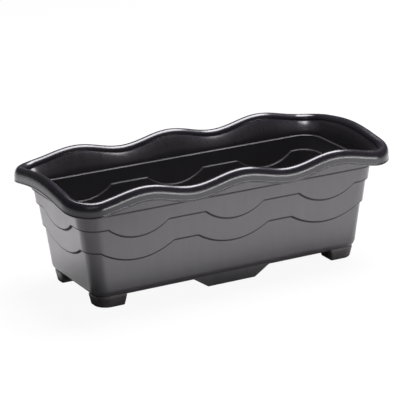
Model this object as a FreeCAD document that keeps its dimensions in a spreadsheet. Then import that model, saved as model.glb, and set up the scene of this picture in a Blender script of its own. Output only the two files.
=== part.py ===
import FreeCAD, Part

import math
import os

import Sketcher
from FreeCAD import Placement, Rotation, Vector

# Window box planter: one long moulded trough with scalloped steps round its walls and
# a wavy rolled rim, four feet clipped under its corners and four drain plugs.
# X is along the trough, Y across it, Z up. The origin is under the middle of the feet.

DRIVING_SIZES = {
    # rim: how far its outer face stands out from the top step, and its section
    "rim_end_overhang": 26.4,
    "rim_side_overhang": 30.3,
    "rim_corner_radius": 52.0,
    "rim_wall": 2.2,
    "roll_radius": 9.3,
    "roll_height": 192.7,
    "roll_inner_angle": 62.0,
    "skirt_drop": 15.1,
    "wave_height": 7.0,
    "wave_pitch": 175.0,
    "corner_low_angle": 25.0,
    # walls: three steps, each leaving the wall below it narrower
    "wall": 2.5,
    "step_depth": 3.6,
    "step_a_height": 161.4,
    "step_a_half_length": 273.6,
    "step_a_half_width": 105.7,
    "step_a_radius": 33.0,
    "step_b_height": 136.7,
    "step_c_height": 97.4,
    "scallop_depth": 20.1,
    "side_scallop_b": 107.0,
    "side_scallop_c": 130.0,
    "end_scallop_b": 102.0,
    "end_scallop_c": 128.0,
    "end_draft": 7.65,
    "side_draft": 2.0,
    "collar_height": 5.0,
    # floor and the shallow sump across its middle
    "floor_height": 16.4,
    "floor_wall": 3.0,
    "bottom_edge_radius": 14.0,
    "sump_clearance": 2.0,
    "sump_top_length": 132.0,
    "sump_bottom_length": 88.0,
    "underside_inset": 3.3,
    # clipped feet
    "foot_length": 52.0,
    "foot_width": 40.0,
    "foot_edge_radius": 4.0,
    "sole_edge_radius": 2.0,
    "foot_draft": 10.0,
    "stud_diameter": 10.0,
    "stud_clearance": 0.1,
    "stud_head_diameter": 13.0,
    "stud_head_height": 2.4,
    # drain plugs
    "drain_diameter": 18.0,
    "drain_spacing_long": 250.0,
    "drain_spacing_wide": 80.0,
    "plug_clearance": 0.05,
    "plug_flange_diameter": 27.0,
    "plug_flange_height": 2.2,
    "plug_shank_length": 8.0,
    "plug_tip_diameter": 16.0,
    "plug_grip_length": 14.0,
    "plug_grip_width": 3.5,
    "plug_grip_height": 8.0,
}

SIDES = {"left": -1, "right": 1}
FACES = {"front": -1, "back": 1}
CRESTS = (-1, 0, 1)      # crests of the rim's wave along each long side, in pitches from the middle
OVERCUT = 1.0            # how far a form runs past the face it opens, or into the piece it joins
SEAM = 0.001             # edges closer than this are one seam
FLARE_REACH = 0.4        # share of the flare's height over which each of its ends keeps its direction
GRIP_ROUNDING = 0.45     # rounding of a plug's grip, as a share of its width

# half sizes over the rim and of the lowest band at the floor's underside, and the collar's top
RIM_HALF_LENGTH = "({step_a_half_length} + {rim_end_overhang})"
RIM_HALF_WIDTH = "({step_a_half_width} + {rim_side_overhang})"
BELOW_A = "({step_a_height} - {floor_height})"
FLOOR_HALF_LENGTH = f"({{step_a_half_length}} - 2 * {{step_depth}} - {BELOW_A} * tan({{end_draft}} * 1 deg))"
FLOOR_HALF_WIDTH = f"({{step_a_half_width}} - 2 * {{step_depth}} - {BELOW_A} * tan({{side_draft}} * 1 deg))"
COLLAR_TOP = "({step_a_height} + {collar_height})"

# centres and sizes that two pieces share: a foot with its stud hole, a plug with its drain
FOOT_X = f"({FLOOR_HALF_LENGTH} - {{underside_inset}} - {{foot_length}} / 2)"
FOOT_Y = f"({FLOOR_HALF_WIDTH} - {{underside_inset}} - {{foot_width}} / 2)"
STUD_HOLE_RADIUS = "({stud_diameter} / 2 + {stud_clearance})"
DRAIN_X = "{drain_spacing_long} / 2"
DRAIN_Y = "{drain_spacing_wide} / 2"
DRAIN_RADIUS = "{drain_diameter} / 2"
FLOOR_TOP = "({floor_height} + {floor_wall})"

doc = FreeCAD.newDocument("window_box_planter")
sheet = doc.addObject("Spreadsheet::Sheet", "Sizes")
for row, (alias, value) in enumerate(DRIVING_SIZES.items(), start=1):
    sheet.set(f"A{row}", alias)
    sheet.set(f"B{row}", str(value))
    sheet.setAlias(f"B{row}", alias)
doc.recompute()


def size(alias):
    return float(getattr(sheet, alias))


def formula(text):
    """A formula whose braces hold driving sizes, as the document's expressions want it."""
    return text.replace("{", "Sizes.").replace("}", "")


def bind(item, **formulas):
    """Bind properties to formulas; a double underscore stands for a dot in the path."""
    for path, text in formulas.items():
        item.setExpression(path.replace("__", "."), formula(text))


def value_of(text):
    result = sheet.evalExpression(formula(text))
    return float(getattr(result, "Value", result))


def place(item, x="0", y="0", z="0"):
    bind(item, Placement__Base__x=x, Placement__Base__y=y, Placement__Base__z=z)


# ---- sketches --------------------------------------------------------------------------

def add_distance(sketch, name, kind, first, second, text):
    """Bind a signed distance between two sketch points, each a (geometry, point) pair."""
    index = sketch.addConstraint(Sketcher.Constraint(kind, *first, *second, value_of(text)))
    sketch.renameConstraint(index, name)
    sketch.setExpression("Constraints." + name, formula(text))


def rounded_outline(name, half_length, half_width, radius, height):
    """A level sketch of a rectangle about the origin with rounded corners."""
    sketch = doc.addObject("Sketcher::SketchObject", name)
    a, w, r = value_of(half_length), value_of(half_width), value_of(radius)
    straights = [((-a + r, -w), (a - r, -w)), ((a, -w + r), (a, w - r)),
                 ((a - r, w), (-a + r, w)), ((-a, w - r), (-a, -w + r))]
    centres = [(a - r, -w + r), (a - r, w - r), (-a + r, w - r), (-a + r, -w + r)]
    for quarter, ((start, end), centre) in enumerate(zip(straights, centres)):
        sketch.addGeometry(Part.LineSegment(Vector(*start, 0), Vector(*end, 0)))
        circle = Part.Circle(Vector(*centre, 0), Vector(0, 0, 1), r)
        turn = (quarter - 1) * math.pi / 2
        sketch.addGeometry(Part.ArcOfCircle(circle, turn, turn + math.pi / 2))
    for index in range(8):
        sketch.addConstraint(Sketcher.Constraint("Tangent", index, 2, (index + 1) % 8, 1))
    for line, kind in ((0, "Horizontal"), (2, "Vertical"), (4, "Horizontal"), (6, "Vertical")):
        sketch.addConstraint(Sketcher.Constraint(kind, line))
    for arc in (3, 5, 7):
        sketch.addConstraint(Sketcher.Constraint("Equal", 1, arc))
    index = sketch.addConstraint(Sketcher.Constraint("Radius", 1, r))
    sketch.renameConstraint(index, "corner_radius")
    sketch.setExpression("Constraints.corner_radius", formula(radius))
    origin = (-1, 1)
    add_distance(sketch, "right", "DistanceX", origin, (2, 1), half_length)
    add_distance(sketch, "left", "DistanceX", (6, 1), origin, half_length)
    add_distance(sketch, "back", "DistanceY", origin, (4, 1), half_width)
    add_distance(sketch, "front", "DistanceY", (0, 1), origin, half_width)
    place(sketch, z=height)
    return sketch


def polygon(sketch, corners):
    """Draw a closed polygon whose corners are pairs of formulas, each bound from the origin."""
    points = [Vector(value_of(x), value_of(y), 0) for x, y in corners]
    count = len(points)
    for index in range(count):
        sketch.addGeometry(Part.LineSegment(points[index], points[(index + 1) % count]))
    for index, (x, y) in enumerate(corners):
        following = (index + 1) % count
        sketch.addConstraint(Sketcher.Constraint("Coincident", index, 2, following, 1))
        for axis, kind, text in ((-2, "DistanceX", x), (-1, "DistanceY", y)):
            if text == "0":
                sketch.addConstraint(Sketcher.Constraint("PointOnObject", index, 1, axis))
            else:
                name = ("across" if kind == "DistanceX" else "up") + str(index)
                add_distance(sketch, name, kind, (-1, 1), (index, 1), text)
    return sketch


def rectangle(sketch, half_length, half_width):
    """A rectangle about the sketch's origin."""
    polygon(sketch, [(f"-{half_length}", f"-{half_width}"), (half_length, f"-{half_width}"),
                     (half_length, half_width), (f"-{half_length}", half_width)])


def body_sketch(body, name, plane):
    sketch = body.newObject("Sketcher::SketchObject", name)
    support = [f for f in body.Origin.OriginFeatures if f.Role == plane][0]
    sketch.AttachmentSupport = [(support, "")]
    sketch.MapMode = "FlatFace"
    return sketch


def mirrored(name, source, normal):
    mirror = doc.addObject("Part::Mirroring", name)
    mirror.Source = source
    mirror.Normal = normal
    return mirror


def upright(edge):
    return abs(edge.tangentAt(edge.FirstParameter).z) > 0.7


def rounded(body, name, radius, wanted):
    """Fillet those edges of a body's last feature that a test picks."""
    doc.recompute()
    last = body.Tip
    names = [f"Edge{index}" for index, edge in enumerate(last.Shape.Edges, start=1) if wanted(edge)]
    fillet = body.newObject("PartDesign::Fillet", name)
    fillet.Base = (last, names)
    bind(fillet, Radius=radius)
    return fillet


# ---- trough: the stepped walls -----------------------------------------------------------

def drafted_band(name, steps, inset, bottom, top):
    """A block that follows the walls so many steps in from step A; the collar is one step out."""
    inward = f"({steps} * {{step_depth}} + {inset})"
    outlines = []
    for level, height in (("bottom", bottom), ("top", top)):
        below = f"({{step_a_height}} - ({height}))" if steps >= 0 else "0"
        outlines.append(rounded_outline(
            f"{name}_{level}",
            f"{{step_a_half_length}} - {inward} - {below} * tan({{end_draft}} * 1 deg)",
            f"{{step_a_half_width}} - {inward} - {below} * tan({{side_draft}} * 1 deg)",
            f"{{step_a_radius}} - {inward}",
            height))
    band = doc.addObject("Part::Loft", name)
    band.Sections = outlines
    band.Solid = True
    band.Ruled = True
    return band


def scallop(name, width, line, x, along_y):
    """A round bar across the trough that dips one scallop below a step's line."""
    bar = doc.addObject("Part::Cylinder", name)
    radius = f"(({width}) ^ 2 / 4 + {{scallop_depth}} ^ 2) / (2 * {{scallop_depth}})"
    centre = f"{line} + {radius} - {{scallop_depth}}"
    bind(bar, Radius=radius)
    if along_y:
        bar.Placement = Placement(Vector(), Rotation(Vector(1, 0, 0), -90))
        bind(bar, Height=f"2 * {RIM_HALF_WIDTH}")
        place(bar, x, f"-{RIM_HALF_WIDTH}", centre)
    else:
        bar.Placement = Placement(Vector(), Rotation(Vector(0, 1, 0), 90))
        bind(bar, Height=f"2 * {RIM_HALF_LENGTH}")
        place(bar, f"-{RIM_HALF_LENGTH}", x, centre)
    return bar


def above_step(name, band, line, side_width, end_width):
    """The part of a band that lies above a scalloped step line."""
    below = doc.addObject("Part::Box", name + "_below")
    bind(below, Length=f"2 * {RIM_HALF_LENGTH}", Width=f"2 * {RIM_HALF_WIDTH}", Height=line)
    place(below, f"-{RIM_HALF_LENGTH}", f"-{RIM_HALF_WIDTH}", "0")
    bars = [scallop(f"{name}_scallop_{index}", side_width, line, f"{crest} * {{wave_pitch}}", True)
            for index, crest in enumerate(CRESTS)]
    bars.append(scallop(f"{name}_end_scallop", end_width, line, "0", False))
    dips = doc.addObject("Part::MultiFuse", name + "_dips")
    dips.Shapes = bars
    scalloped = doc.addObject("Part::Cut", name + "_line")
    scalloped.Base, scalloped.Tool = below, dips
    result = doc.addObject("Part::Cut", name)
    result.Base, result.Tool = band, scalloped
    return result


def rounded_below(name, block, radius):
    """Round the edge all round the bottom of a block."""
    doc.recompute()
    bottom = block.Shape.BoundBox.ZMin
    edges = [index for index, edge in enumerate(block.Shape.Edges, start=1)
             if edge.BoundBox.ZMax - bottom < SEAM]
    result = doc.addObject("Part::Fillet", name)
    result.Base = block
    result.Edges = [(index, radius, radius) for index in edges]
    return result


def sump_block(name, inset, lift):
    """The trapezoid under the floor's middle, or the hollow in it when inset and lifted."""
    sketch = doc.addObject("Sketcher::SketchObject", name + "_section")
    sketch.Placement = Placement(Vector(), Rotation(Vector(1, 0, 0), 90))
    slope = "(({sump_top_length} - {sump_bottom_length}) / 2 / ({floor_height} - {sump_clearance}))"
    low = f"{{sump_clearance}} + {lift}"
    high = f"{{floor_height}} + {{bottom_edge_radius}} + {lift}"
    half_low = "{sump_bottom_length} / 2"
    half_high = f"{half_low} + {slope} * ({{floor_height}} + {{bottom_edge_radius}} - {{sump_clearance}})"
    polygon(sketch, [(f"-({half_low})", low), (half_low, low),
                     (half_high, high), (f"-({half_high})", high)])
    half_width = f"({FLOOR_HALF_WIDTH} - {{underside_inset}} - {inset})"
    bind(sketch, Placement__Base__y=half_width)
    block = doc.addObject("Part::Extrusion", name)
    block.Base = sketch
    block.DirMode = "Custom"
    block.Dir = Vector(0, -1, 0)
    block.Solid = True
    bind(block, LengthFwd="2 * " + half_width)
    return block


def stepped_form(name, inset, lift, floor, top, edge_radius):
    """The trough's outside, or its inside when inset by the wall and lifted by it."""
    line_b = f"({{step_b_height}} + {lift})"
    line_c = f"({{step_c_height}} + {lift})"
    lowest = drafted_band(name + "_low", 2, inset, floor, top)
    middle = drafted_band(name + "_middle", 1, inset, f"{line_c} - {{scallop_depth}} - {OVERCUT}", top)
    upper = drafted_band(name + "_upper", 0, inset, f"{line_b} - {{scallop_depth}} - {OVERCUT}", top)
    collar = drafted_band(name + "_collar", -1, inset, f"{{step_a_height}} + {lift}", top)
    form = doc.addObject("Part::MultiFuse", name)
    form.Shapes = [
        rounded_below(name + "_low_rounded", lowest, edge_radius),
        above_step(name + "_above_c", middle, line_c, "{side_scallop_c}", "{end_scallop_c}"),
        above_step(name + "_above_b", upper, line_b, "{side_scallop_b}", "{end_scallop_b}"),
        collar,
        sump_block(name + "_sump", inset, "{floor_wall}" if inset != "0" else "0"),
    ]
    return form


# ---- trough: the flared wall and the wavy rolled rim -------------------------------------

def rim_wave(reach, straight, length):
    """The wave's phase, 1 on a crest and -1 in a low, so far round from the long side's middle."""
    pitch = size("wave_pitch")
    low = straight + size("rim_corner_radius") * math.radians(size("corner_low_angle"))
    if reach <= pitch:
        return math.cos(2 * math.pi * reach / pitch)
    if reach <= low:
        return math.cos(math.pi * (reach - pitch) / (low - pitch))
    return -math.cos(math.pi * (reach - low) / (length - low))


def rim_stations(spans=36):
    """Evenly spaced places round the rim, from the long side's middle to the end's.

    Each is a point on the rim's outer face, the way out, the collar's point below it and the wave.
    """
    radius = size("rim_corner_radius")
    collar_radius = size("step_a_radius") + size("step_depth")
    centre_x, centre_y = value_of(RIM_HALF_LENGTH) - radius, value_of(RIM_HALF_WIDTH) - radius
    collar_x = size("step_a_half_length") - size("step_a_radius")
    collar_y = size("step_a_half_width") - size("step_a_radius")
    corner = radius * math.pi / 2
    length = centre_x + corner + centre_y
    stations = []
    for index in range(spans + 1):
        reach = length * index / spans
        turn = min(max(reach - centre_x, 0), corner) / radius
        outward = Vector(math.sin(turn), math.cos(turn), 0)
        side, end = min(reach / centre_x, 1), min((length - reach) / centre_y, 1)
        point = Vector(centre_x * side, centre_y * end, 0) + outward * radius
        collar = Vector(collar_x * side, collar_y * end, 0) + outward * collar_radius
        stations.append((point, outward, collar, rim_wave(reach, centre_x, length)))
    return stations


def rim_section(point, outward, collar, wave):
    """The closed outline of skirt, roll and flared wall at a station."""
    wall, roll = size("rim_wall"), size("roll_radius")
    lap = (size("wall") - wall) / 2
    inner_turn = math.radians(size("roll_inner_angle"))
    roll_height = size("roll_height") + size("wave_height") * wave
    skirt_height = roll_height - size("skirt_drop")
    foot_low = size("step_a_height") + size("collar_height") / 2
    foot_high = size("step_a_height") + size("collar_height") + OVERCUT

    def at(inward, height):
        return point - outward * inward + Vector(0, 0, height)

    def on_collar(inward, height):
        return collar - outward * inward + Vector(0, 0, height)

    def flare(radius, foot):
        """From the roll down to the foot, leaving the roll along its own slope."""
        start = (roll + radius * math.sin(inner_turn), roll_height + radius * math.cos(inner_turn))
        reach = (start[1] - foot_high) * FLARE_REACH
        leaving = (start[0] + reach * math.cos(inner_turn), start[1] - reach * math.sin(inner_turn))
        curve = Part.BezierCurve()
        curve.setPoles([at(*start), at(*leaving),
                        on_collar(foot, foot_high + reach), on_collar(foot, foot_high)])
        return start, curve

    inner_foot = size("wall") - lap
    outer_foot = lap
    half_turn = (inner_turn - math.pi / 2) / 2
    inside = roll - wall
    inner_start, inner_flare = flare(roll, inner_foot)
    outer_start, outer_flare = flare(inside, outer_foot)
    top = (roll + roll * math.sin(half_turn), roll_height + roll * math.cos(half_turn))
    under = (roll + inside * math.sin(half_turn), roll_height + inside * math.cos(half_turn))
    edges = [
        Part.LineSegment(at(0, skirt_height), at(0, roll_height)).toShape(),
        Part.Arc(at(0, roll_height), at(*top), at(*inner_start)).toShape(),
        inner_flare.toShape(),
        Part.LineSegment(on_collar(inner_foot, foot_high), on_collar(inner_foot, foot_low)).toShape(),
        Part.LineSegment(on_collar(inner_foot, foot_low), on_collar(outer_foot, foot_low)).toShape(),
        Part.LineSegment(on_collar(outer_foot, foot_low), on_collar(outer_foot, foot_high)).toShape(),
        outer_flare.toShape(),
        Part.Arc(at(*outer_start), at(*under), at(wall, roll_height)).toShape(),
        Part.LineSegment(at(wall, roll_height), at(wall, skirt_height)).toShape(),
        Part.LineSegment(at(wall, skirt_height), at(0, skirt_height)).toShape(),
    ]
    return Part.Wire(edges)


def rolled_rim():
    """The whole rim as one ring: a quarter lofted through its sections, mirrored and sewn."""
    quarter = Part.makeLoft([rim_section(*station) for station in rim_stations()], True)
    skins = [face for face in quarter.Faces if face.Surface.TypeId == "Part::GeomBSplineSurface"]
    for normal in (Vector(0, 1, 0), Vector(1, 0, 0)):
        skins += [skin.mirror(Vector(), normal) for skin in skins]
    ring = Part.Compound(skins)
    ring.sewShape(SEAM)
    rim = doc.addObject("Part::Feature", "rolled_rim")
    rim.Shape = Part.Solid(ring.Shells[0])
    rim.Placement = Placement()
    return rim


def trough_shell():
    outside = stepped_form("outside", "0", "0", "{floor_height}", COLLAR_TOP,
                           size("bottom_edge_radius"))
    inside = stepped_form("inside", "{wall}", "{wall}", FLOOR_TOP,
                          f"({COLLAR_TOP} + {OVERCUT})", size("bottom_edge_radius") - size("wall"))
    walls = doc.addObject("Part::Cut", "walls")
    walls.Base, walls.Tool = outside, inside
    holes = doc.addObject("Part::MultiFuse", "floor_holes")
    holes.Shapes = [floor_hole(f"{kind}_{face}_{side}", radius,
                               f"{SIDES[side]} * {x}", f"{FACES[face]} * {y}")
                    for kind, radius, x, y in (("drain", DRAIN_RADIUS, DRAIN_X, DRAIN_Y),
                                               ("stud_hole", STUD_HOLE_RADIUS, FOOT_X, FOOT_Y))
                    for face in FACES for side in SIDES]
    drilled = doc.addObject("Part::Cut", "drilled_walls")
    drilled.Base, drilled.Tool = walls, holes
    trough = doc.addObject("Part::Fuse", "trough")
    trough.Base, trough.Tool = drilled, rolled_rim()
    trough.Label = "trough"
    return trough, outside


def floor_hole(name, radius, x, y):
    hole = doc.addObject("Part::Cylinder", name)
    bind(hole, Radius=radius, Height=f"{{floor_wall}} + 2 * {OVERCUT}")
    place(hole, x, y, f"{{floor_height}} - {OVERCUT}")
    return hole


# ---- feet ---------------------------------------------------------------------------------

def foot_block():
    """The back right foot's block, drafted, with its outer corner following the trough's."""
    body = doc.addObject("PartDesign::Body", "foot_block")
    sketch = body_sketch(body, "foot_plan", "XY_Plane")
    rectangle(sketch, "{foot_length} / 2", "{foot_width} / 2")
    bind(sketch, AttachmentOffset__Base__z="{floor_height}")
    lower = body.newObject("PartDesign::Pad", "foot_lower")
    lower.Profile = sketch
    lower.Reversed = True
    bind(lower, Length="{floor_height}", TaperAngle="-{foot_draft}")
    upper = body.newObject("PartDesign::Pad", "foot_upper")
    upper.Profile = sketch
    bind(upper, Length="{bottom_edge_radius}")
    rounded(body, "foot_outer_corner", "{step_a_radius} - 2 * {step_depth} - {underside_inset}",
            lambda edge: upright(edge) and edge.CenterOfMass.x > 0 and edge.CenterOfMass.y > 0)
    rounded(body, "foot_corners", "{foot_edge_radius}",
            lambda edge: upright(edge) and min(edge.CenterOfMass.x, edge.CenterOfMass.y) < 0)
    rounded(body, "foot_sole_edge", "{sole_edge_radius}", lambda edge: edge.BoundBox.ZMax < SEAM)
    place(body, FOOT_X, FOOT_Y)
    return body


def stud():
    """The stud that goes up through the floor, with the head that holds the foot."""
    shank = doc.addObject("Part::Cylinder", "stud_shank")
    head = doc.addObject("Part::Cone", "stud_head")
    bind(shank, Radius="{stud_diameter} / 2", Height=f"{{floor_wall}} + {OVERCUT} + {{stud_head_height}}")
    bind(head, Radius1="{stud_head_diameter} / 2", Radius2="{stud_diameter} / 2",
         Height="{stud_head_height}")
    place(shank, FOOT_X, FOOT_Y, f"{{floor_height}} - {OVERCUT}")
    place(head, FOOT_X, FOOT_Y, FLOOR_TOP)
    return [shank, head]


def feet(outside):
    block = foot_block()
    seated = doc.addObject("Part::Cut", "foot_seat")
    seated.Base, seated.Tool = block, outside
    back_right = doc.addObject("Part::MultiFuse", "foot_back_right")
    back_right.Shapes = [seated] + stud()
    front_right = mirrored("foot_front_right", back_right, Vector(0, 1, 0))
    back_left = mirrored("foot_back_left", back_right, Vector(1, 0, 0))
    front_left = mirrored("foot_front_left", front_right, Vector(1, 0, 0))
    pieces = [back_right, front_right, back_left, front_left]
    for piece in pieces:
        piece.Label = piece.Name
    return pieces


# ---- drain plugs ----------------------------------------------------------------------------

def drain_plug(face, side):
    """A tapered stopper with a flange that seats on the floor and a bar to pull it by."""
    name = f"drain_plug_{face}_{side}"
    body = doc.addObject("PartDesign::Body", name)
    section = body_sketch(body, name + "_section", "XZ_Plane")
    polygon(section, [
        ("0", "-{plug_shank_length}"),
        ("{plug_tip_diameter} / 2", "-{plug_shank_length}"),
        (f"{DRAIN_RADIUS} - {{plug_clearance}}", "-{floor_wall}"),
        (f"{DRAIN_RADIUS} - {{plug_clearance}}", "0"),
        ("{plug_flange_diameter} / 2", "0"),
        ("{plug_flange_diameter} / 2", "{plug_flange_height}"),
        ("0", "{plug_flange_height}"),
    ])
    turned = body.newObject("PartDesign::Revolution", name + "_turned")
    turned.Profile = section
    turned.ReferenceAxis = (section, ["V_Axis"])
    turned.Angle = 360
    plan = body_sketch(body, name + "_grip_plan", "XY_Plane")
    rectangle(plan, "{plug_grip_length} / 2", "{plug_grip_width} / 2")
    bind(plan, AttachmentOffset__Base__z="{plug_flange_height}")
    grip = body.newObject("PartDesign::Pad", name + "_grip")
    grip.Profile = plan
    bind(grip, Length="{plug_grip_height}")
    rounded(body, name + "_grip_ends", f"{{plug_grip_width}} * {GRIP_ROUNDING}",
            lambda edge: upright(edge) and abs(edge.CenterOfMass.y) > SEAM and not edge.Closed)
    place(body, f"{SIDES[side]} * {DRAIN_X}", f"{FACES[face]} * {DRAIN_Y}", FLOOR_TOP)
    body.Label = name
    return body


# ---- build and write ---------------------------------------------------------------------

trough, outside_form = trough_shell()
subparts = [trough] + feet(outside_form)
subparts += [drain_plug(face, side) for face in FACES for side in SIDES]
doc.recompute()

for item in doc.Objects:
    if "Invalid" in item.State or "Error" in item.State:
        raise RuntimeError(f"{item.Label} failed: {item.State}")

os.makedirs("parts", exist_ok=True)
for subpart in subparts:
    shape = subpart.Shape
    if shape.isNull() or not shape.isValid():
        raise RuntimeError(f"{subpart.Label} has no valid shape")
    shape.exportStep(f"parts/{subpart.Label}.step")
    box = shape.optimalBoundingBox(False)
    print(f"{subpart.Label}: {len(shape.Solids)} solid, {shape.Volume / 1000:.1f} cm3,"
          f" z {box.ZMin:.1f} to {box.ZMax:.1f}")
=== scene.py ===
import math

import bmesh
import bpy
import numpy as np
from mathutils import Matrix, Vector
from mathutils.geometry import delaunay_2d_cdt


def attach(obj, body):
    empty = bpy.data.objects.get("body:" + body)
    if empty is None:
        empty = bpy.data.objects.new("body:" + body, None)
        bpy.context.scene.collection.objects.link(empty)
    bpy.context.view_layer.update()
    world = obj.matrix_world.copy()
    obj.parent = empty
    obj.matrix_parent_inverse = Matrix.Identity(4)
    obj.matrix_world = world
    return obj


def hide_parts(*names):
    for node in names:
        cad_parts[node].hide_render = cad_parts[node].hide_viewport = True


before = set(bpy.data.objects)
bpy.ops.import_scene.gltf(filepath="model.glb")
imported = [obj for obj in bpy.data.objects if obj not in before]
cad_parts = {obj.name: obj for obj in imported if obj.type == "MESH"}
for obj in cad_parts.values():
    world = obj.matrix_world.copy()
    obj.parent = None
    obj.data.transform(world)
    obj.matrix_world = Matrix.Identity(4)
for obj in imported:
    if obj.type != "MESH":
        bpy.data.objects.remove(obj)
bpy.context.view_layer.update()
print("frame loaded:", len(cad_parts), "CAD nodes")

mm = 0.001


# the trough is one closed mesh, made of rings round it; its sizes are in mm

walls = {  # outside of the stepped walls
    "halfLength": 273.6,  # over the top step
    "halfWidth": 105.7,
    "cornerRadius": 33.0,
    "thickness": 2.5,
    "stepDepth": 3.6,
    "stepLines": (161.4, 136.7, 97.4),  # straight, scalloped, scalloped
    "scallopDepth": 20.1,
    "sideScallops": (0, 107, 130),
    "endScallops": (0, 102, 128),
    "endDraft": 7.65,
    "sideDraft": 2.0,
    "collar": 6.0,
    "edgeRadius": 2.4,  # outer corner of a step, outside the planter
    "insideEdgeRadius": 1.0,
    "creaseRadius": 0.7,  # inner corner of a step
    "edgeRows": 7,
    "creaseRows": 5,
    "bandLead": 0.8,  # from a band's end to the ring that keeps its shading flat
    "bandRows": (3, 4, 4, 6),  # collar, then bands downward
    "settleRounds": 5,
}

floor = {
    "height": 16.4,
    "thickness": 3.0,
    "edgeRadius": 14.0,
    "sumpTop": 66.0,  # half lengths
    "sumpBottom": 44.0,
    "sumpHeight": 2.0,
    "drain": 9.0,
    "drainX": 125.0,
    "drainY": 40.0,
    "drainCollar": 6.0,  # flat ring of faces round a drain
    "turns": 48,  # points round a drain
    "edgeSplit": 50.0,  # degrees of the lower edge where the rings give way to the sheet
    "edgeRows": 8,
    "endGap": 0.05,  # from the sump's ends to the first loop
    "endLean": 0.5,  # of the sump's end walls
    "samePlace": 1e-5,  # points nearer than this are one
    "slack": 0.001,
}

rim = {
    "endOverhang": 26.4,
    "sideOverhang": 30.3,
    "cornerRadius": 52.0,
    "thickness": 2.2,
    "roll": 9.3,
    "rollHeight": 192.7,
    "innerAngle": 84.0,  # from the top of the roll to where the fillet takes over
    "shoulder": 5.5,  # how much lower the roll ends outside than inside
    "shelfAngle": 46.0,  # slope of the narrow shelf between the roll and the flare
    "fillet": 2.4,  # between the roll and that shelf
    "shelfPull": 0.15,  # of the flare's height: how far its ends hold their slopes
    "collarPull": 3.5,  # times that, at the collar
    "skirt": 15.1,
    "bead": 1.6,  # round the lower edge of the skirt
    "beadArc": (-40, 220, 15),  # degrees from, degrees to, rows
    "skirtInside": (0.3, 0.7),  # rings down the skirt, as shares of it
    "skirtOutside": (0.3, 0.6, 0.96),
    "wave": 7.0,
    "pitch": 175.0,
    "cornerLow": 25.0,
    "columns": 104,  # to a quarter of the way round
    "flareRows": 12,
    "filletRows": 6,
    "rollRows": (16, 26),  # under and over
    "sharpAngle": 30.0,
}


def rimWave(reach, straight, length):  # 1 on a crest, -1 in a low
    low = straight + rim["cornerRadius"] * math.radians(rim["cornerLow"])
    onSide = np.cos(2 * math.pi * reach / rim["pitch"])
    toLow = np.cos(math.pi * (reach - rim["pitch"]) / (low - rim["pitch"]))
    toEnd = -np.cos(math.pi * (reach - low) / (length - low))
    return np.where(reach <= rim["pitch"], onSide, np.where(reach <= low, toLow, toEnd))


def makeColumns():
    # each column: the rim's outer point, the way out, its share along side and end, the wave
    radius = rim["cornerRadius"]
    centreX = walls["halfLength"] + rim["endOverhang"] - radius
    centreY = walls["halfWidth"] + rim["sideOverhang"] - radius
    corner = radius * math.pi / 2
    length = centreX + corner + centreY
    reach = np.linspace(0, length, rim["columns"] + 1)
    turn = np.clip(reach - centreX, 0, corner) / radius
    side = np.minimum(reach / centreX, 1)
    end = np.minimum((length - reach) / centreY, 1)
    quarter = np.stack([side, end, np.sin(turn), np.cos(turn), rimWave(reach, centreX, length)])
    half = np.hstack([quarter, quarter[:, -2::-1] * np.array([[1], [-1], [1], [-1], [1]])])
    other = half[:, -2:0:-1] * np.array([[-1], [1], [-1], [1], [1]])
    side, end, outX, outY, wave = np.hstack([half, other])
    point = np.stack([centreX * side + radius * outX, centreY * end + radius * outY])
    return {"side": side, "end": end, "out": np.stack([outX, outY]), "wave": wave, "point": point}


columns = makeColumns()
columnCount = len(columns["wave"])


def wallPoint(inset, height):
    # a ring on the walls, so far in from the top band; the draft starts at the top step
    drop = np.maximum(walls["stepLines"][0] - height, 0)
    radius = walls["cornerRadius"]
    centreX = walls["halfLength"] - radius - drop * math.tan(math.radians(walls["endDraft"]))
    centreY = walls["halfWidth"] - radius - drop * math.tan(math.radians(walls["sideDraft"]))
    x = centreX * columns["side"] + (radius - inset) * columns["out"][0]
    y = centreY * columns["end"] + (radius - inset) * columns["out"][1]
    return np.stack([x, y, np.broadcast_to(height, x.shape)], axis=1)


def dip(distance, width):  # how far a round scallop dips at a distance from its middle
    depth = walls["scallopDepth"]
    radius = (width * width / 4 + depth * depth) / (2 * depth)
    inside = np.abs(distance) < width / 2
    drop = np.sqrt(np.maximum(radius * radius - distance * distance, 0)) - (radius - depth)
    return np.where(inside, drop, 0)


def stepHeight(step, inset, lift):  # the line of a step, column by column
    line = walls["stepLines"][step] + lift
    height = np.full(columnCount, line)
    if not walls["sideScallops"][step]:
        return height
    for settle in range(walls["settleRounds"]):
        # a column leans with the draft, so its place and its height have to agree
        x, y, z = wallPoint(inset, height).T
        width = walls["sideScallops"][step]
        dips = [dip(x - crest * rim["pitch"], width) for crest in (-1, 0, 1)]
        dips.append(dip(y, walls["endScallops"][step]))
        height = line - np.max(dips, axis=0)
    return height


# rings from the floor's edge up the outside, over the rim and down inside
rings = []
glossOfRing = []
# per ring: 1 where painted shade darkens the outside steps, which are also made rougher there
stepShadeOfRing = []


def addRing(points, gloss=0.0, stepShade=0.0):
    rings.append(points)
    glossOfRing.append(gloss)
    stepShadeOfRing.append(stepShade)


def band(inset, low, high, rows):
    # rings up or down a flat band, with one close to each end to keep its shading flat
    shares = np.linspace(0, 1, rows)
    lead = walls["bandLead"] / max(float(np.min(np.abs(high - low))), 2 * walls["bandLead"])
    for share in [lead, *shares[1:-1], 1 - lead]:
        addRing(wallPoint(inset, low + (high - low) * share))


def stepTurns(outside):  # radii of a step's lower and upper corner
    if outside:
        return walls["creaseRadius"], walls["edgeRadius"]
    return walls["insideEdgeRadius"], walls["creaseRadius"]


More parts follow.
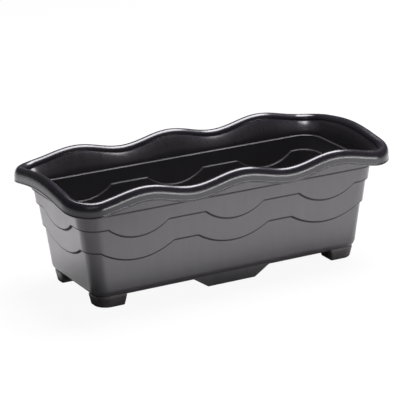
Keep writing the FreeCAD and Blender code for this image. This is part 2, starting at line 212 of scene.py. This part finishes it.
def stepEdge(line, narrow, wide, outside):
    # the two rounded corners of one step; narrow and wide are insets below and above it
    lowTurn, highTurn = stepTurns(outside)
    path = []
    for share in np.linspace(0, 1, walls["creaseRows"]):
        a = share * math.pi / 2
        path.append((narrow - lowTurn * (1 - math.cos(a)), line - lowTurn * (1 - math.sin(a))))
    for share in np.linspace(0, 1, walls["edgeRows"]):
        a = share * math.pi / 2
        path.append((wide + highTurn * (1 - math.sin(a)), line + highTurn * (1 - math.cos(a))))
    for inset, height in path if outside else reversed(path):
        # the outside steps' rings get the painted step shade
        addRing(wallPoint(inset, height), 0.0, 1.0 if outside else 0.0)


def edgeRing(inset, height, radius, turn):  # on the rounded edge between floor and walls
    level = np.full(columnCount, height + radius * (1 - math.cos(turn)))
    return wallPoint(inset + radius * (1 - math.sin(turn)), level)


def bottomEdge(inset, height, radius, start, stop):
    for turn in np.radians(np.linspace(start, stop, floor["edgeRows"])):
        addRing(edgeRing(inset, height, radius, turn))


def steppedSide(lift, outside):
    # walls between the rounded bottom edge and the collar, from below or from above
    depth = walls["stepDepth"]
    insets = [step * depth + lift for step in range(-1, 3)]  # collar, then bands downward
    bottom = floor["height"] + floor["edgeRadius"]
    if not outside:
        bottom += floor["thickness"] - lift
    lines = [stepHeight(step, insets[step + 1], lift) for step in range(3)]
    lowTurn, highTurn = stepTurns(outside)
    collarTop = walls["stepLines"][0] + walls["collar"]
    rows = walls["bandRows"]
    parts = [("band", insets[3], np.full(columnCount, bottom), lines[2] - lowTurn, rows[3])]
    for step in (2, 1, 0):
        parts.append(("step", lines[step], insets[step + 1], insets[step]))
        top = lines[step - 1] - lowTurn if step else np.full(columnCount, collarTop)
        parts.append(("band", insets[step], lines[step] + highTurn, top, rows[step]))
    for kind, *sizes in parts if outside else reversed(parts):
        if kind == "step":
            line, narrow, wide = sizes
            stepEdge(line, narrow, wide, outside)
        else:
            inset, low, high, count = sizes
            band(inset, *((low, high) if outside else (high, low)), count)


def rimPoint(inward, height):
    x, y = columns["point"] - columns["out"] * inward
    return np.stack([x, y, np.broadcast_to(height, x.shape)], axis=1)


rollHeight = rim["rollHeight"] + rim["wave"] * columns["wave"]


def rollArc(radius, start, stop, count):
    for angle in np.radians(np.linspace(start, stop, count)):
        drop = rim["shoulder"] if angle < 0 else 0.0
        height = rollHeight - drop + (radius + drop) * math.cos(angle)
        addRing(rimPoint(rim["roll"] + radius * math.sin(angle), height), 1.0)


def flare(radius, inset, upward):
    # from the roll through a small fillet and a shelf down to the collar
    turn, shelf = math.radians(rim["innerAngle"]), math.radians(rim["shelfAngle"])
    bend = rim["fillet"] + rim["roll"] - radius
    footHeight = walls["stepLines"][0] + walls["collar"]
    startIn = rim["roll"] + radius * math.sin(turn)
    startHeight = rollHeight + radius * math.cos(turn)
    path = []
    for a in np.linspace(turn, shelf, rim["filletRows"])[1:]:
        inward = startIn + bend * (math.sin(turn) - math.sin(a))
        path.append((rimPoint(inward, startHeight - bend * (math.cos(a) - math.cos(turn))), 1.0))
    filletEnd = path[-1][0]
    shelfIn, shelfHeight = inward, filletEnd[:, 2]
    reach = (shelfHeight - footHeight) * rim["shelfPull"]
    poles = [filletEnd,
             rimPoint(shelfIn + reach * math.cos(shelf), shelfHeight - reach * math.sin(shelf)),
             wallPoint(inset, footHeight + rim["collarPull"] * reach),
             wallPoint(inset, np.full(columnCount, footHeight))]
    for t in np.linspace(0, 1, rim["flareRows"] + 1)[1:]:
        weights = ((1 - t) ** 3, 3 * t * (1 - t) ** 2, 3 * t * t * (1 - t), t ** 3)
        path.append((sum(w * pole for w, pole in zip(weights, poles)), 1.0 - t))
    for points, gloss in reversed(path) if upward else path:
        addRing(points, gloss)


def makeRings():
    roll, wall = rim["roll"], rim["thickness"]
    inside = roll - wall
    collar = -walls["stepDepth"]
    depth = 2 * walls["stepDepth"]
    bottomEdge(depth, floor["height"], floor["edgeRadius"], floor["edgeSplit"], 90)
    steppedSide(0.0, True)
    flare(inside, collar, True)
    under, over = rim["rollRows"]
    rollArc(inside, rim["innerAngle"], -90, under)
    skirtLow = rollHeight - rim["skirt"]
    bead = rim["bead"]
    beadHeight = skirtLow + bead
    shoulder = rollHeight - rim["shoulder"]
    for share in rim["skirtInside"]:
        addRing(rimPoint(wall, shoulder + (beadHeight - shoulder) * share), 1.0)
    for angle in np.radians(np.linspace(*rim["beadArc"])):
        inward = wall / 2 + bead * math.cos(angle)
        addRing(rimPoint(inward, beadHeight - bead * math.sin(angle)), 1.0)
    for share in rim["skirtOutside"]:
        addRing(rimPoint(0, beadHeight + (shoulder - beadHeight) * share), 1.0)
    rollArc(roll, -90, rim["innerAngle"], over)
    flare(roll, collar + walls["thickness"], False)
    steppedSide(walls["thickness"], False)
    insideRadius = floor["edgeRadius"] - walls["thickness"]
    bottomEdge(depth + walls["thickness"], floor["height"] + floor["thickness"], insideRadius,
               90, floor["edgeSplit"])


makeRings()
print("trough rings:", len(rings), "of", columnCount, "points")


def sumpFloor(x, lift):  # height of the sump's bottom and slopes
    slope = (floor["height"] - floor["sumpHeight"]) / (floor["sumpTop"] - floor["sumpBottom"])
    return floor["sumpHeight"] + lift + max(abs(x) - floor["sumpBottom"], 0) * slope


def sumpReach(height, lift):  # how far the slopes stand from the middle at a height
    run = (floor["sumpTop"] - floor["sumpBottom"]) / (floor["height"] - floor["sumpHeight"])
    return floor["sumpBottom"] + (height - lift - floor["sumpHeight"]) * run


def circle(x, y, radius, height):
    around = np.linspace(0, 2 * math.pi, floor["turns"], endpoint=False)
    return np.stack([x + radius * np.cos(around), y + radius * np.sin(around),
                     np.full(floor["turns"], height)], axis=1)


def floorSheet(inset, lift, radius, ring):
    # everything inside the last ring, as seen from above: rounded edge, flat floor, sump, drains
    low = floor["height"] + lift
    loops = [ring]
    for turn in np.radians(np.linspace(floor["edgeSplit"], 0, floor["edgeRows"]))[1:]:
        loops.append(edgeRing(inset, low, radius, turn))
    endY = ring[0, 1] - floor["endGap"]
    lowY = endY - floor["endLean"]
    sideEnds = [(endY, ring[0, 2])] + [(loop[0, 1], loop[0, 2]) for loop in loops[1:]]
    side = [(sumpReach(height, lift), y, height) for y, height in sideEnds]
    right = side + [(x, -y, z) for x, y, z in reversed(side)]
    outline = right + [(-x, y, z) for x, y, z in reversed(right)]
    bottom = floor["sumpBottom"]
    corners = [(bottom, lowY), (bottom, -lowY), (-bottom, -lowY), (-bottom, lowY)]
    loops += [outline, [(x, y, floor["sumpHeight"] + lift) for x, y in corners]]
    drainStarts = []
    for x in (-floor["drainX"], floor["drainX"]):
        for y in (-floor["drainY"], floor["drainY"]):
            loops.append(circle(x, y, floor["drain"] + floor["drainCollar"], low))
            drainStarts.append(sum(len(loop) for loop in loops))
            loops.append(circle(x, y, floor["drain"], low))

    points = [Vector((x, y)) for loop in loops for x, y, z in loop]
    heights = [z for loop in loops for x, y, z in loop]
    edges = []
    start = 0
    for loop in loops:
        edges += [(start + i, start + (i + 1) % len(loop)) for i in range(len(loop))]
        start += len(loop)
    sheet = delaunay_2d_cdt(points, edges, [], 0, floor["samePlace"], True)
    found, faces, origins = sheet[0], sheet[2], sheet[3]
    places = []
    for (x, y), origin in zip(found, origins):
        sump = sumpFloor(x, lift)
        z = heights[origin[0]] if origin else sump
        places.append((x, y, min(z, sump) if abs(y) < lowY + floor["slack"] else z))
    kept = []
    for face in faces:
        x = abs(sum(found[i][0] for i in face) / 3) - floor["drainX"]
        y = abs(sum(found[i][1] for i in face) / 3) - floor["drainY"]
        if math.hypot(x, y) > floor["drain"]:
            kept.append(tuple(face))
    return places, kept, origins, drainStarts


def makeTrough():
    vertices = [tuple(point) for ring in rings for point in ring]
    gloss = [value for value in glossOfRing for column in range(columnCount)]
    stepShade = [value for value in stepShadeOfRing for column in range(columnCount)]
    faces = []
    for row in range(len(rings) - 1):
        for column in range(columnCount):
            following = (column + 1) % columnCount
            a, b = row * columnCount + column, row * columnCount + following
            faces.append((a, b, b + columnCount, a + columnCount))
    sheets = []
    lower = (2 * walls["stepDepth"], 0.0, floor["edgeRadius"], rings[0], 0)
    upper = (2 * walls["stepDepth"] + walls["thickness"], floor["thickness"],
             floor["edgeRadius"] - walls["thickness"], rings[-1], (len(rings) - 1) * columnCount)
    for inset, lift, radius, ring, firstIndex in (lower, upper):
        places, kept, origins, drainStarts = floorSheet(inset, lift, radius, ring)
        index = {}
        originOf = {}
        for number, (place, origin) in enumerate(zip(places, origins)):
            for source in origin:
                originOf[source] = number
            ringColumn = [source for source in origin if source < columnCount]
            if ringColumn:
                index[number] = firstIndex + ringColumn[0]
            else:
                index[number] = len(vertices)
                vertices.append(place)
                gloss.append(0.0)
                stepShade.append(0.0)
        faces.extend(tuple(index[corner] for corner in face) for face in kept)
        sheets.append([[index[originOf[start + turn]] for turn in range(floor["turns"])]
                       for start in drainStarts])
    for below, above in zip(*sheets):
        for turn in range(floor["turns"]):
            following = (turn + 1) % floor["turns"]
            faces.append((below[turn], below[following], above[following], above[turn]))
    mesh = bpy.data.meshes.new("troughMoulding")
    mesh.from_pydata([Vector(v) * mm for v in vertices], [], faces)
    for name, values in (("gloss", gloss), ("stepShade", stepShade)):
        mesh.attributes.new(name, "FLOAT", "POINT").data.foreach_set("value", values)
    work = bmesh.new()
    work.from_mesh(mesh)
    bmesh.ops.recalc_face_normals(work, faces=work.faces)
    openEdges = sum(1 for edge in work.edges if not edge.is_manifold)
    work.to_mesh(mesh)
    work.free()
    mesh.shade_smooth()
    mesh.set_sharp_from_angle(angle=math.radians(rim["sharpAngle"]))
    piece = bpy.data.objects.new("trough_moulding", mesh)
    bpy.context.scene.collection.objects.link(piece)
    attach(piece, "planter")
    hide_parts("trough")
    print("trough:", len(mesh.polygons), "faces,", openEdges, "open edges")
    return piece


troughPiece = makeTrough()


class Wire:  # one output of a node tree; arithmetic on it adds Math nodes
    def __init__(self, shader, socket):
        self.shader = shader
        self.socket = socket

    def math(self, operation, first, second):
        return self.shader.node("ShaderNodeMath", {"operation": operation}, {0: first, 1: second})

    def __add__(self, other):
        return self.math("ADD", self, other)

    def __sub__(self, other):
        return self.math("SUBTRACT", self, other)

    def __rsub__(self, other):
        return self.math("SUBTRACT", other, self)

    def __mul__(self, other):
        return self.math("MULTIPLY", self, other)

    __radd__ = __add__
    __rmul__ = __mul__


class Shader:  # the nodes of one material
    def __init__(self, name):
        self.material = bpy.data.materials.new(name)
        self.material.use_nodes = True
        self.nodes = self.material.node_tree.nodes
        self.links = self.material.node_tree.links
        self.nodes.clear()

    def node(self, kind, settings, inputs, output=0):
        made = self.nodes.new(kind)
        for name, value in settings.items():
            setattr(made, name, value)
        for name, value in inputs.items():
            socket = made.inputs[name]
            if isinstance(value, Wire):
                self.links.new(value.socket, socket)
            else:
                socket.default_value = value
        return Wire(self, made.outputs[output])

    def finish(self, surface):
        end = self.nodes.new("ShaderNodeOutputMaterial")
        self.links.new(surface.socket, end.inputs["Surface"])
        return self.material


def blendColours(made, share, first, second):
    return made.node("ShaderNodeMix", {"data_type": "RGBA"}, {0: share, 6: first, 7: second}, 2)


def noise(made, place, scale, detail, roughness):
    return made.node("ShaderNodeTexNoise", {}, {
        "Vector": place, "Scale": scale, "Detail": detail, "Roughness": roughness}, "Fac")


plastic = {
    "wallColour": (0.031, 0.029, 0.031, 1),
    "rimColour": (0.009, 0.008, 0.011, 1),
    "paleColour": (0.105, 0.100, 0.100, 1),  # faint marks left by the mould
    "paintedStepShadeColour": (0.006, 0.006, 0.006, 1),  # painted shade under the outside steps
    "wallRoughness": 0.31,
    "rimRoughness": 0.24,
    "stepShadeRoughness": 0.5,  # added to the walls' own, along the painted step shade
    "marks": (14.0, 5.0, 0.62),  # noises: scale per metre, detail, roughness
    "streaks": (95.0, 3.0, 0.5),
    "grain": (1100.0, 2.0, 0.5),
    "waves": (11.0, 0.5, 0.4),  # slow unevenness of the moulded faces
    "streakScale": (1.0, 1.0, 0.12),  # streaks are drawn out upward
    "markShare": 0.34,  # how far the marks show on the walls
    "rimMarkLoss": 0.30,  # and how much less on the glossy rim
    "markRoughness": 0.14,
    "streakRoughness": 0.07,
    "rimGrainLoss": 0.85,
    "waveStrength": 0.25,
    "waveHeight": 0.0014,
    "grainStrength": 0.22,
    "grainHeight": 0.00012,
    "refraction": 1.5,
}


def troughPlastic():
    # satin on the stepped walls, polished from the flare over the roll to the skirt, with painted
    # shade darkening the outside steps
    made = Shader("blackTroughPlastic")
    place = made.node("ShaderNodeTexCoord", {}, {}, "Object")
    gloss = made.node("ShaderNodeAttribute", {"attribute_name": "gloss"}, {}, "Fac")
    stepShade = made.node("ShaderNodeAttribute", {"attribute_name": "stepShade"}, {}, "Fac")
    upright = made.node("ShaderNodeMapping", {}, {
        "Vector": place, "Scale": plastic["streakScale"]})
    marks = noise(made, place, *plastic["marks"])
    streaks = noise(made, upright, *plastic["streaks"])
    grain = noise(made, place, *plastic["grain"])
    waves = noise(made, place, *plastic["waves"])
    colour = blendColours(made, gloss, plastic["wallColour"], plastic["rimColour"])
    faint = marks * streaks * (plastic["markShare"] - plastic["rimMarkLoss"] * gloss)
    colour = blendColours(made, faint, colour, plastic["paleColour"])
    # painted shade along the outside steps
    colour = blendColours(made, stepShade, colour, plastic["paintedStepShadeColour"])
    polish = plastic["rimRoughness"] - plastic["wallRoughness"]
    rough = plastic["wallRoughness"] + gloss * polish
    rough = rough + plastic["markRoughness"] * (marks - 0.5)
    rough = rough + plastic["streakRoughness"] * (streaks - 0.5)
    rough = rough + plastic["stepShadeRoughness"] * stepShade
    wobble = made.node("ShaderNodeBump", {}, {
        "Height": waves, "Strength": plastic["waveStrength"], "Distance": plastic["waveHeight"]})
    normal = made.node("ShaderNodeBump", {}, {
        "Height": grain * (1.0 - plastic["rimGrainLoss"] * gloss),
        "Strength": plastic["grainStrength"], "Distance": plastic["grainHeight"],
        "Normal": wobble})
    surface = made.node("ShaderNodeBsdfPrincipled", {}, {
        "Base Color": colour, "Roughness": rough, "Normal": normal, "IOR": plastic["refraction"]})
    return made.finish(surface)


small = {  # feet and plugs
    "footColour": (0.034, 0.030, 0.029, 1),
    "plugColour": (0.022, 0.021, 0.023, 1),
    "wornColour": (0.085, 0.078, 0.074, 1),
    "footRoughness": 0.46,
    "plugRoughness": 0.36,
    "footScuffs": 0.6,  # how worn the lowest part is
    "plugScuffs": 0.3,
    "highScuffs": 0.12,  # how worn the rest is
    "scuffHeight": 0.010,
    "scuffRange": (0.45, 0.7),  # of the cloud noise
    "scuffRoughness": 0.3,
    "cloud": (60.0, 6.0, 0.7),
    "grain": (700.0, 2.0, 0.5),
    "grainStrength": 0.35,
    "grainHeight": 0.00018,
}


def smallPlastic(name, colour, roughness, scuffs):
    # coarser moulding grain, with pale scuffs where it is handled or slides on the ground
    made = Shader(name)
    place = made.node("ShaderNodeTexCoord", {}, {}, "Object")
    cloud = noise(made, place, *small["cloud"])
    grain = noise(made, place, *small["grain"])
    height = made.node("ShaderNodeSeparateXYZ", {}, {"Vector": place}, "Z")
    low = made.node("ShaderNodeMapRange", {}, {
        "Value": height, "From Min": 0.0, "From Max": small["scuffHeight"],
        "To Min": scuffs, "To Max": small["highScuffs"]})
    thin, thick = small["scuffRange"]
    patches = made.node("ShaderNodeMapRange", {}, {
        "Value": cloud, "From Min": thin, "From Max": thick})
    scuff = low * patches
    mixed = blendColours(made, scuff, colour, small["wornColour"])
    normal = made.node("ShaderNodeBump", {}, {
        "Height": grain, "Strength": small["grainStrength"], "Distance": small["grainHeight"]})
    surface = made.node("ShaderNodeBsdfPrincipled", {}, {
        "Base Color": mixed, "Roughness": roughness + small["scuffRoughness"] * scuff,
        "Normal": normal, "IOR": plastic["refraction"]})
    return made.finish(surface)


troughPiece.data.materials.append(troughPlastic())
footMaterial = smallPlastic("blackFootPlastic", small["footColour"], small["footRoughness"],
                            small["footScuffs"])
plugMaterial = smallPlastic("blackPlugPlastic", small["plugColour"], small["plugRoughness"],
                            small["plugScuffs"])
for name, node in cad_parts.items():
    if name != "trough":
        node.data.materials.clear()
        node.data.materials.append(footMaterial if name.startswith("foot") else plugMaterial)
print("materials made:", len(bpy.data.materials))


ground = {
    "reach": 6.0,  # metres to each side
    "paint": (0.7, 0.7, 0.7, 1),
    "roughness": 0.9,
    "whiteShare": 0.93,  # seen by the camera; the rest is paint, which keeps the shadow
}


def makeStage():
    # a pale floor that the camera sees as white
    mesh = bpy.data.meshes.new("paleFloor")
    reach = ground["reach"]
    corners = [(-reach, -reach, 0), (reach, -reach, 0), (reach, reach, 0), (-reach, reach, 0)]
    mesh.from_pydata(corners, [], [(0, 1, 2, 3)])
    sheet = bpy.data.objects.new("pale_floor", mesh)
    bpy.context.scene.collection.objects.link(sheet)
    made = Shader("paleFloorPaint")
    seen = made.node("ShaderNodeLightPath", {}, {}, "Is Camera Ray")
    paint = made.node("ShaderNodeBsdfPrincipled", {}, {
        "Base Color": ground["paint"], "Roughness": ground["roughness"]})
    white = made.node("ShaderNodeEmission", {}, {"Color": (1, 1, 1, 1), "Strength": 1.0})
    mixed = made.node("ShaderNodeMixShader", {}, {
        0: seen * ground["whiteShare"], 1: paint, 2: white})
    mesh.materials.append(made.finish(mixed))


lampAim = (0, 0, 0.1)
lamps = {  # watts, metres; a card lies on the floor and shines up
    "overhead": {"power": 148, "size": (1.8, 1.5), "place": (0.65, 0.38, 2.15),
                 "colour": (0.97, 0.95, 1.0), "card": False},
    "front": {"power": 20, "size": (1.7, 0.17), "place": (1.04, -2.02, 0.14),
              "colour": (1, 1, 1), "card": False},
    "fill": {"power": 2.5, "size": (1.1, 0.7), "place": (-0.9, -1.65, 1.45),
             "colour": (1, 1, 1), "card": False},
    "floorNear": {"power": 0.78, "size": (0.86, 0.23), "place": (0.19, -0.285, 0.003),
                  "colour": (1, 0.985, 1), "card": True},
    "floorFar": {"power": 0.92, "size": (0.90, 0.34), "place": (0.45, -0.57, 0.003),
                 "colour": (1, 0.985, 1), "card": True},
    "floorLeft": {"power": 0.25, "size": (0.21, 0.48), "place": (-0.352, 0.21, 0.003),
                  "colour": (1, 0.985, 1), "card": True},
}


def makeLamp(name):
    settings = lamps[name]
    lamp = bpy.data.lights.new(name, "AREA")
    lamp.shape = "RECTANGLE"
    lamp.size, lamp.size_y = settings["size"]
    lamp.energy = settings["power"]
    lamp.color = settings["colour"]
    item = bpy.data.objects.new(name, lamp)
    item.location = settings["place"]
    item.visible_camera = False
    if settings["card"]:
        away = Vector((0, 0, -1))
    else:
        away = (item.location - Vector(lampAim)).normalized()
    along = (Vector((1, 0, 0)) - away * away.x).normalized()
    turned = Matrix((along, away.cross(along), away)).transposed()
    item.rotation_mode = "QUATERNION"
    item.rotation_quaternion = turned.to_quaternion()
    bpy.context.scene.collection.objects.link(item)


view = {  # degrees and metres; lens and sensor in mm
    "azimuth": 28.41,  # round to the planter's left
    "elevation": 18.59,
    "roll": -1.04,
    "distance": 3.661,
    "aim": (-0.00154, 0.01231, 0.11473),
    "lens": 197.43,
    "sensor": 36.0,
    "farthest": 50.0,
}


def makeCamera():
    camera = bpy.data.cameras.new("camera")
    camera.lens = view["lens"]
    camera.sensor_width = view["sensor"]
    camera.clip_end = view["farthest"]
    item = bpy.data.objects.new("camera", camera)
    azimuth, elevation = math.radians(view["azimuth"]), math.radians(view["elevation"])
    level = math.cos(elevation)
    back = Vector((-math.sin(azimuth) * level, -math.cos(azimuth) * level, math.sin(elevation)))
    roll = Matrix.Rotation(math.radians(view["roll"]), 3, "Z").to_quaternion()
    item.rotation_mode = "QUATERNION"
    item.rotation_quaternion = (-back).to_track_quat("-Z", "Y") @ roll
    item.location = Vector(view["aim"]) + back * view["distance"]
    bpy.context.scene.collection.objects.link(item)
    bpy.context.scene.camera = item


surround = {"colour": (0.75, 0.76, 0.78, 1), "strength": 0.11}


def makeWorld():
    world = bpy.data.worlds.new("studio")
    world.use_nodes = True
    background = world.node_tree.nodes["Background"]
    background.inputs["Color"].default_value = surround["colour"]
    background.inputs["Strength"].default_value = surround["strength"]
    bpy.context.scene.world = world


makeStage()
makeWorld()
for lampName in lamps:
    makeLamp(lampName)
makeCamera()
bpy.context.scene.view_settings.view_transform = "Standard"
